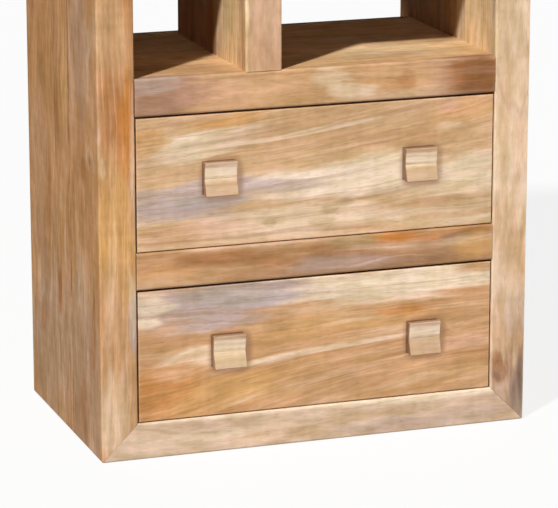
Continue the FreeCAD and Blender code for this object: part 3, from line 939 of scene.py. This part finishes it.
# where a knob's marks lie, in millimetres
KNOB_PAINTED_LIGHT_RISE = 8           # above its middle
KNOB_PAINTED_SHADE_DROP = 14         # below its middle
KNOB_EDGE_DEPTH = 4          # behind its face


def knob_board(node, seed):
    """Pale wood, darker along its upper edge. Cream painted light on the hollow above the crease and a
    deeper painted shade on the lip below it even out how the lamps light them, and its sides get painted
    shade.
    """
    low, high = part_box(node)
    middle = (low + high) / 2
    top_edge = (middle.x / MM, low.y / MM + KNOB_EDGE_DEPTH, high.z / MM)
    painted_light_spot = (middle.x / MM, low.y / MM, middle.z / MM + KNOB_PAINTED_LIGHT_RISE)
    painted_shade_spot = (middle.x / MM, low.y / MM, middle.z / MM - KNOB_PAINTED_SHADE_DROP)
    return Board(
        grain="X", base=BEIGE, seed=seed, pith=(-40.0, 30.0), warm=-0.8, grey=-0.8, figure=0.5,
        blotch=0.6, wear=0.0, painted_side_shade=0.7,
        marks=[
            (CREAM, painted_light_spot, (60, 20, 14), 0.9),
            (KNOB_LOWER_PAINTED_SHADE, painted_shade_spot, (60, 20, 16), 0.9),
            (RUST, top_edge, (60, 20, 7), 0.35),
        ],
    )


def hidden_boards():
    """The back of the drawer bay, the runners and stops, the drawer boxes and the dowels."""
    boards = {
        "back_panel": Board(grain="Z", base=INSIDE_TAN, seed=51.0, pith=(60.0, 400.0), figure=0.8),
        "back_cleat": Board(grain="X", base=INSIDE_TAN, seed=53.0),
        "mitre_dowels": Board(grain="X", base=GOLD, seed=91.0, figure=0.5),
        "shelf_dowels": Board(grain="X", base=GOLD, seed=93.0, figure=0.5),
        "rail_dowels": Board(grain="X", base=GOLD, seed=95.0, figure=0.5),
        "divider_dowels": Board(grain="Z", base=GOLD, seed=97.0, figure=0.5),
    }
    for place, drawer in enumerate(("upper_drawer", "lower_drawer")):
        seed = 60.0 + 7.3 * place
        boards[drawer + "_back"] = Board(base=INSIDE_TAN, seed=seed, figure=0.8)
        boards[drawer + "_bottom"] = Board(base=INSIDE_TAN, seed=seed + 3, pith=(0.0, 300.0))
        boards[drawer + "_stop_block"] = Board(base=INSIDE_TAN, seed=seed + 5)
        boards[drawer + "_dowels"] = Board(base=GOLD, seed=seed + 6, figure=0.5)
        for hand, shift in (("left", 20.0), ("right", 40.5)):
            name = drawer + "_" + hand
            boards[name + "_knob"] = knob_board(name + "_knob", seed + shift)
            boards[name + "_side"] = Board(
                grain="Y", base=INSIDE_TAN, seed=seed + shift + 1, pith=(60.0, 0.0), figure=0.8,
            )
            boards[name + "_runner"] = Board(grain="Y", base=INSIDE_TAN, seed=seed + shift + 2)
    return boards


def dress():
    """Give every node of the frame its material: timber for the boards, steel for the screws."""
    boards = {**side_boards(), **level_boards(), **drawer_fronts(), **hidden_boards()}
    steel = steel_material()
    for node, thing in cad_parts.items():
        material = steel
        if node in boards:
            low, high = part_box(node)
            material = board_material(node + "_timber", low, high, boards[node])
        thing.data.materials.clear()
        thing.data.materials.append(material)


# ---- stage ----
def shown_as_white(g, plain, white, share):
    """plain for the light that falls on things; towards white where the camera or a gloss sees it."""
    path = g.node("LightPath").outputs
    seen = g.calc("MAXIMUM", path["Is Camera Ray"], path["Is Glossy Ray"])
    seen = g.calc("MAXIMUM", seen, path["Is Transmission Ray"])
    mixed = g.node("MixShader")
    return g.fed(mixed, (g.calc("MULTIPLY", seen, share), plain, white))


def floor_material():
    """Pale matt floor with a faint mottle."""
    material = bpy.data.materials.new("pale_floor")
    g = emptied(material)
    here = g.node("TexCoord").outputs["Object"]
    mottle = g.noise(g.vector("MULTIPLY", here, FLOOR_MOTTLE_RATES), FLOOR_MOTTLE_DETAIL)
    seen = g.mix(mottle, *(grey(value) for value in FLOOR_SEEN))
    dull = g.mix(mottle, *(grey(value) for value in FLOOR_BOUNCE))
    diffuse = g.node("BsdfDiffuse")
    g.feed(diffuse.inputs["Color"], g.mix(g.node("LightPath").outputs["Is Camera Ray"], dull, seen))
    white = g.node("Emission")
    white.inputs["Strength"].default_value = 1.0
    surface = shown_as_white(g, diffuse.outputs[0], white.outputs[0], FLOOR_WHITE)
    g.feed(g.node("OutputMaterial").inputs["Surface"], surface)
    return material


def make_floor():
    """A round floor, so wide that its edge is lost in the white."""
    turns = [2 * math.pi * n / FLOOR_CORNERS for n in range(FLOOR_CORNERS)]
    ring = [(FLOOR_RADIUS * math.cos(turn), FLOOR_RADIUS * math.sin(turn), 0.0) for turn in turns]
    mesh = bpy.data.meshes.new("floor")
    mesh.from_pydata(ring, [], [list(range(FLOOR_CORNERS))])
    mesh.materials.append(floor_material())
    floor = bpy.data.objects.new("floor", mesh)
    bpy.context.scene.collection.objects.link(floor)


def make_world():
    """A faint even sky that shows as plain white."""
    world = bpy.data.worlds.new("studio")
    g = emptied(world)
    sky = g.node("Background")
    sky.inputs["Strength"].default_value = SKY_LIGHT
    white = g.node("Background")
    white.inputs["Strength"].default_value = 1.0
    for background in (sky, white):
        background.inputs["Color"].default_value = grey(1.0)
    surface = shown_as_white(g, sky.outputs[0], white.outputs[0], 1.0)
    g.feed(g.node("OutputWorld").inputs["Surface"], surface)
    bpy.context.scene.world = world


def make_lamp(name, share, azimuth, elevation, width):
    """A distant, even lamp; its angles are in degrees."""
    lamp = bpy.data.lights.new(name, "SUN")
    lamp.energy = share * math.pi     # pi shows a facing surface in its own colour
    lamp.angle = math.radians(width)
    turn = math.radians(azimuth)
    rise = math.radians(elevation)
    towards = Vector((
        -math.sin(turn) * math.cos(rise),
        -math.cos(turn) * math.cos(rise),
        math.sin(rise),
    ))
    thing = bpy.data.objects.new(name, lamp)
    thing.rotation_mode = "QUATERNION"
    thing.rotation_quaternion = towards.to_track_quat("Z", "Y")
    bpy.context.scene.collection.objects.link(thing)
    return thing


def keep_knobs_from_blocking(lamp):
    """The knobs are lit by this lamp, and throw no shadow of it on the drawer fronts."""
    knobs = bpy.data.collections.new("knobs_that_block_no_key_light")
    for node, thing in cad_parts.items():
        if node.endswith("_knob"):
            knobs.objects.link(thing)
    lamp.light_linking.blocker_collection = knobs
    for member in knobs.collection_objects:
        member.light_linking.link_state = "EXCLUDE"


def make_camera():
    data = bpy.data.cameras.new("camera")
    data.sensor_width = SENSOR
    data.lens = FOCAL_PIXELS / PICTURE_WIDTH * SENSOR
    data.clip_end = CAMERA_RANGE
    camera = bpy.data.objects.new("camera", data)
    camera.location = CAMERA_PLACE
    camera.rotation_euler = (math.pi / 2 - CAMERA_PITCH, 0.0, -CAMERA_YAW)
    bpy.context.scene.collection.objects.link(camera)
    bpy.context.scene.camera = camera


dress()
make_floor()
make_world()
key_lamp = make_lamp("key_lamp", KEY_LIGHT, KEY_AZIMUTH, KEY_ELEVATION, KEY_WIDTH)
keep_knobs_from_blocking(key_lamp)
for lamp_name, (lamp_share, lamp_azimuth) in LOW_LAMPS.items():
    make_lamp(lamp_name, lamp_share, lamp_azimuth, LOW_ELEVATION, LOW_WIDTH)
make_camera()
bpy.context.scene.view_settings.view_transform = "Standard"
